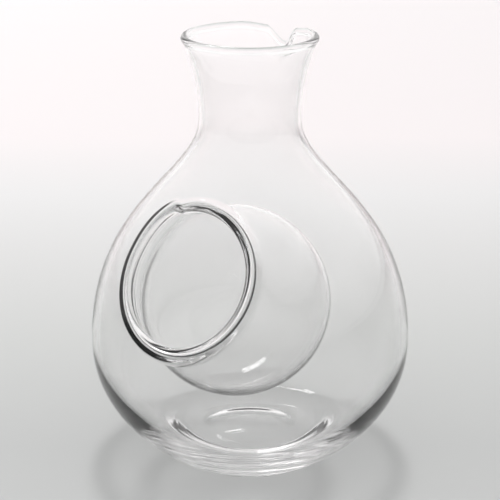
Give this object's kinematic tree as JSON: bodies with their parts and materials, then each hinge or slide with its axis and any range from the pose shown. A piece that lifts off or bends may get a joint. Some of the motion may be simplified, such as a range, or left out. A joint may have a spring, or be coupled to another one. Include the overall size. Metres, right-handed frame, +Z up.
{
  "type": "carafe",
  "caption": "Clear blown-glass carafe with a gourd-shaped body, a flared mouth with a pinched pouring lip, and an inner ice pocket that opens through its front wall.",
  "frame": {"origin": "centre of the foot, on the surface that the carafe stands on", "axes": "+Z up along the centre line of the body, -Y to the front where the ice pocket opens, +Y to the back where the lip pours"},
  "size_m": [0.1108, 0.1108, 0.151],
  "materials": {
    "clear_glass": "fire-polished"
  },
  "bodies": {
    "root": {"carafe_body": "clear_glass", "ice_pocket": "clear_glass", "pocket_mouth_ring": "clear_glass"}
  },
  "joints": []
}
